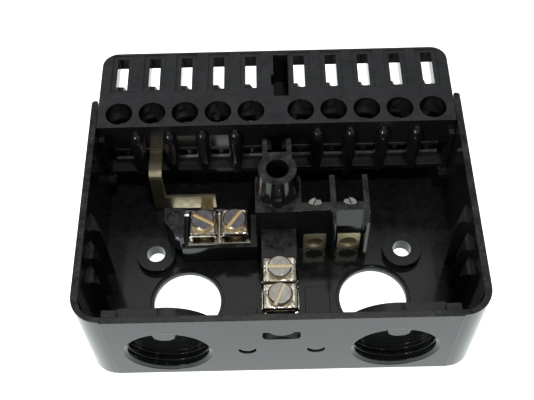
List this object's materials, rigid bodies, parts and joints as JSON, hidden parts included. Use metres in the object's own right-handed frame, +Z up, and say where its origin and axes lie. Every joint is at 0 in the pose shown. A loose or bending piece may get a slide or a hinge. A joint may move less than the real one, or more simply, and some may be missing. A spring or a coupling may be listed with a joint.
{
  "type": "burner control wiring sub-base",
  "caption": "Black moulded wiring tray with ten plug-in screw terminals along the rear, neutral and earth bars, two cage terminals, closed conduit entries and floor cable holes.",
  "frame": {"origin": "centre of the underside of the bounding box", "axes": "+X to the right seen from the cable-entry side, +Y from the cable entries towards the plug-in terminals, +Z up out of the open side"},
  "size_m": [0.091, 0.0756, 0.0284],
  "materials": {
    "black_moulding": "glossy black moulded plastic",
    "block_moulding": "satin black moulded plastic, dusty and lightly scuffed on top",
    "contact_bronze": "stamped contact bronze, dull",
    "clamp_nickel": "bright nickel plate",
    "screw_steel": "zinc plated steel, turned",
    "strap_brass": "dull brass strip",
    "plated_bar": "nickel plated brass bar",
    "cage_brass": "machined brass"
  },
  "bodies": {
    "base": {"base_tray": "black_moulding", "terminal_block": "block_moulding", "contact_1": "contact_bronze", "contact_2": "contact_bronze", "contact_3": "contact_bronze", "contact_4": "contact_bronze", "contact_5": "contact_bronze", "contact_6": "contact_bronze", "contact_7": "contact_bronze", "contact_8": "contact_bronze", "contact_9": "contact_bronze", "contact_10": "contact_bronze", "neutral_link_strap": "strap_brass", "neutral_bar": "plated_bar", "earth_bar": "plated_bar", "aux_cage_1": "cage_brass", "aux_cage_2": "cage_brass"},
    "wire_clamp_1": {"wire_clamp_1": "clamp_nickel"},
    "terminal_screw_1": {"terminal_screw_1": "screw_steel"},
    "wire_clamp_2": {"wire_clamp_2": "clamp_nickel"},
    "terminal_screw_2": {"terminal_screw_2": "screw_steel"},
    "wire_clamp_3": {"wire_clamp_3": "clamp_nickel"},
    "terminal_screw_3": {"terminal_screw_3": "screw_steel"},
    "wire_clamp_4": {"wire_clamp_4": "clamp_nickel"},
    "terminal_screw_4": {"terminal_screw_4": "screw_steel"},
    "wire_clamp_5": {"wire_clamp_5": "clamp_nickel"},
    "terminal_screw_5": {"terminal_screw_5": "screw_steel"},
    "wire_clamp_6": {"wire_clamp_6": "clamp_nickel"},
    "terminal_screw_6": {"terminal_screw_6": "screw_steel"},
    "wire_clamp_7": {"wire_clamp_7": "clamp_nickel"},
    "terminal_screw_7": {"terminal_screw_7": "screw_steel"},
    "wire_clamp_8": {"wire_clamp_8": "clamp_nickel"},
    "terminal_screw_8": {"terminal_screw_8": "screw_steel"},
    "wire_clamp_9": {"wire_clamp_9": "clamp_nickel"},
    "terminal_screw_9": {"terminal_screw_9": "screw_steel"},
    "wire_clamp_10": {"wire_clamp_10": "clamp_nickel"},
    "terminal_screw_10": {"terminal_screw_10": "screw_steel"},
    "neutral_clamp_1": {"neutral_clamp_1": "clamp_nickel"},
    "neutral_screw_1": {"neutral_screw_1": "screw_steel"},
    "neutral_clamp_2": {"neutral_clamp_2": "clamp_nickel"},
    "neutral_screw_2": {"neutral_screw_2": "screw_steel"},
    "earth_clamp_1": {"earth_clamp_1": "clamp_nickel"},
    "earth_screw_1": {"earth_screw_1": "screw_steel"},
    "earth_clamp_2": {"earth_clamp_2": "clamp_nickel"},
    "earth_screw_2": {"earth_screw_2": "screw_steel"},
    "aux_pressure_pad_1": {"aux_pressure_pad_1": "screw_steel"},
    "aux_screw_1": {"aux_screw_1": "screw_steel"},
    "aux_pressure_pad_2": {"aux_pressure_pad_2": "screw_steel"},
    "aux_screw_2": {"aux_screw_2": "screw_steel"}
  },
  "joints": [
    {"name": "terminal_screw_turn_1", "type": "hinge", "parent": "base", "child": "terminal_screw_1", "pos_m": [-0.0385, 0.0184, 0.019], "axis": [0, 0, -1], "range_deg": [0, 2521]},
    {"name": "wire_clamp_rise_1", "type": "slide", "parent": "base", "child": "wire_clamp_1", "axis": [0, 0, 1], "range_m": [0, 0.0042]},
    {"name": "terminal_screw_turn_2", "type": "hinge", "parent": "base", "child": "terminal_screw_2", "pos_m": [-0.0304, 0.0184, 0.019], "axis": [0, 0, -1], "range_deg": [-1981, 0]},
    {"name": "wire_clamp_rise_2", "type": "slide", "parent": "base", "child": "wire_clamp_2", "axis": [0, 0, 1], "range_m": [-0.0033, 0]},
    {"name": "terminal_screw_turn_3", "type": "hinge", "parent": "base", "child": "terminal_screw_3", "pos_m": [-0.0223, 0.0184, 0.019], "axis": [0, 0, -1], "range_deg": [0, 2521]},
    {"name": "wire_clamp_rise_3", "type": "slide", "parent": "base", "child": "wire_clamp_3", "axis": [0, 0, 1], "range_m": [0, 0.0042]},
    {"name": "terminal_screw_turn_4", "type": "hinge", "parent": "base", "child": "terminal_screw_4", "pos_m": [-0.0142, 0.0184, 0.019], "axis": [0, 0, -1], "range_deg": [0, 2521]},
    {"name": "wire_clamp_rise_4", "type": "slide", "parent": "base", "child": "wire_clamp_4", "axis": [0, 0, 1], "range_m": [0, 0.0042]},
    {"name": "terminal_screw_turn_5", "type": "hinge", "parent": "base", "child": "terminal_screw_5", "pos_m": [-0.0061, 0.0184, 0.019], "axis": [0, 0, -1], "range_deg": [0, 2521]},
    {"name": "wire_clamp_rise_5", "type": "slide", "parent": "base", "child": "wire_clamp_5", "axis": [0, 0, 1], "range_m": [0, 0.0042]},
    {"name": "terminal_screw_turn_6", "type": "hinge", "parent": "base", "child": "terminal_screw_6", "pos_m": [0.0061, 0.0184, 0.019], "axis": [0, 0, -1], "range_deg": [0, 2521]},
    {"name": "wire_clamp_rise_6", "type": "slide", "parent": "base", "child": "wire_clamp_6", "axis": [0, 0, 1], "range_m": [0, 0.0042]},
    {"name": "terminal_screw_turn_7", "type": "hinge", "parent": "base", "child": "terminal_screw_7", "pos_m": [0.0142, 0.0184, 0.019], "axis": [0, 0, -1], "range_deg": [0, 2521]},
    {"name": "wire_clamp_rise_7", "type": "slide", "parent": "base", "child": "wire_clamp_7", "axis": [0, 0, 1], "range_m": [0, 0.0042]},
    {"name": "terminal_screw_turn_8", "type": "hinge", "parent": "base", "child": "terminal_screw_8", "pos_m": [0.0223, 0.0184, 0.019], "axis": [0, 0, -1], "range_deg": [0, 2521]},
    {"name": "wire_clamp_rise_8", "type": "slide", "parent": "base", "child": "wire_clamp_8", "axis": [0, 0, 1], "range_m": [0, 0.0042]},
    {"name": "terminal_screw_turn_9", "type": "hinge", "parent": "base", "child": "terminal_screw_9", "pos_m": [0.0304, 0.0184, 0.019], "axis": [0, 0, -1], "range_deg": [0, 2521]},
    {"name": "wire_clamp_rise_9", "type": "slide", "parent": "base", "child": "wire_clamp_9", "axis": [0, 0, 1], "range_m": [0, 0.0042]},
    {"name": "terminal_screw_turn_10", "type": "hinge", "parent": "base", "child": "terminal_screw_10", "pos_m": [0.0385, 0.0184, 0.019], "axis": [0, 0, -1], "range_deg": [0, 2521]},
    {"name": "wire_clamp_rise_10", "type": "slide", "parent": "base", "child": "wire_clamp_10", "axis": [0, 0, 1], "range_m": [0, 0.0042]},
    {"name": "neutral_clamp_rise_1", "type": "slide", "parent": "base", "child": "neutral_clamp_1", "axis": [0, 0, 1], "range_m": [0, 0.003]},
    {"name": "neutral_screw_turn_1", "type": "hinge", "parent": "neutral_clamp_1", "child": "neutral_screw_1", "pos_m": [-0.0185, -0.0041, 0.0126], "axis": [0, 0, 1], "range_deg": [0, 1801]},
    {"name": "neutral_clamp_rise_2", "type": "slide", "parent": "base", "child": "neutral_clamp_2", "axis": [0, 0, 1], "range_m": [0, 0.003]},
    {"name": "neutral_screw_turn_2", "type": "hinge", "parent": "neutral_clamp_2", "child": "neutral_screw_2", "pos_m": [-0.0107, -0.0041, 0.0126], "axis": [0, 0, 1], "range_deg": [0, 1801]},
    {"name": "earth_clamp_rise_1", "type": "slide", "parent": "base", "child": "earth_clamp_1", "axis": [0, 0, 1], "range_m": [0, 0.003]},
    {"name": "earth_screw_turn_1", "type": "hinge", "parent": "earth_clamp_1", "child": "earth_screw_1", "pos_m": [0, -0.0247, 0.0126], "axis": [0, 0, 1], "range_deg": [0, 1801]},
    {"name": "earth_clamp_rise_2", "type": "slide", "parent": "base", "child": "earth_clamp_2", "axis": [0, 0, 1], "range_m": [0, 0.003]},
    {"name": "earth_screw_turn_2", "type": "hinge", "parent": "earth_clamp_2", "child": "earth_screw_2", "pos_m": [0, -0.0176, 0.0126], "axis": [0, 0, 1], "range_deg": [0, 1801]},
    {"name": "aux_pad_press_1", "type": "slide", "parent": "base", "child": "aux_pressure_pad_1", "axis": [0, 0, -1], "range_m": [0, 0.0025]},
    {"name": "aux_screw_turn_1", "type": "hinge", "parent": "aux_pressure_pad_1", "child": "aux_screw_1", "pos_m": [0.00905, -0.0018, 0.01], "axis": [0, 0, -1], "range_deg": [0, 1801]},
    {"name": "aux_pad_press_2", "type": "slide", "parent": "base", "child": "aux_pressure_pad_2", "axis": [0, 0, -1], "range_m": [0, 0.0025]},
    {"name": "aux_screw_turn_2", "type": "hinge", "parent": "aux_pressure_pad_2", "child": "aux_screw_2", "pos_m": [0.01755, -0.0018, 0.01], "axis": [0, 0, -1], "range_deg": [0, 1801]}
  ],
  "couplings": [
    {"joint": "terminal_screw_turn_1", "follows": "wire_clamp_rise_1", "rad_per_m": 10472},
    {"joint": "terminal_screw_turn_2", "follows": "wire_clamp_rise_2", "rad_per_m": 10472},
    {"joint": "terminal_screw_turn_3", "follows": "wire_clamp_rise_3", "rad_per_m": 10472},
    {"joint": "terminal_screw_turn_4", "follows": "wire_clamp_rise_4", "rad_per_m": 10472},
    {"joint": "terminal_screw_turn_5", "follows": "wire_clamp_rise_5", "rad_per_m": 10472},
    {"joint": "terminal_screw_turn_6", "follows": "wire_clamp_rise_6", "rad_per_m": 10472},
    {"joint": "terminal_screw_turn_7", "follows": "wire_clamp_rise_7", "rad_per_m": 10472},
    {"joint": "terminal_screw_turn_8", "follows": "wire_clamp_rise_8", "rad_per_m": 10472},
    {"joint": "terminal_screw_turn_9", "follows": "wire_clamp_rise_9", "rad_per_m": 10472},
    {"joint": "terminal_screw_turn_10", "follows": "wire_clamp_rise_10", "rad_per_m": 10472},
    {"joint": "neutral_screw_turn_1", "follows": "neutral_clamp_rise_1", "rad_per_m": 10472},
    {"joint": "neutral_screw_turn_2", "follows": "neutral_clamp_rise_2", "rad_per_m": 10472},
    {"joint": "earth_screw_turn_1", "follows": "earth_clamp_rise_1", "rad_per_m": 10472},
    {"joint": "earth_screw_turn_2", "follows": "earth_clamp_rise_2", "rad_per_m": 10472},
    {"joint": "aux_screw_turn_1", "follows": "aux_pad_press_1", "rad_per_m": 12566},
    {"joint": "aux_screw_turn_2", "follows": "aux_pad_press_2", "rad_per_m": 12566}
  ]
}
